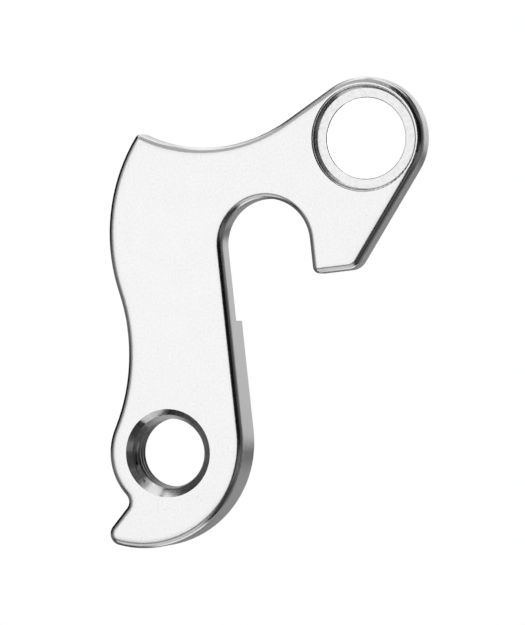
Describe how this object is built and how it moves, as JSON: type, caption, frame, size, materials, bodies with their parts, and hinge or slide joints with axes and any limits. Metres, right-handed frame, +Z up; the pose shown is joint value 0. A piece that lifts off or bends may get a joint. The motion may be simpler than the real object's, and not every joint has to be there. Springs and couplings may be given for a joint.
{
  "type": "bicycle derailleur hanger",
  "caption": "Flat aluminium derailleur hanger: a recessed eye for the frame bolt, an open slot for the wheel axle, and a leg with a threaded eye and a stop for the rear derailleur.",
  "frame": {"origin": "on the axis of the frame-bolt hole, in the flat seat plane that bears on the frame's dropout", "axes": "+X forward on the bicycle, +Y inward towards the wheel, +Z up; the outer face with the recess looks along -Y"},
  "size_m": [0.0427, 0.0058, 0.0614],
  "materials": {
    "hanger_aluminium": "satin, bead-blasted and clear anodised, with bright machined holes"
  },
  "bodies": {
    "root": {"hanger": "hanger_aluminium"}
  },
  "joints": []
}
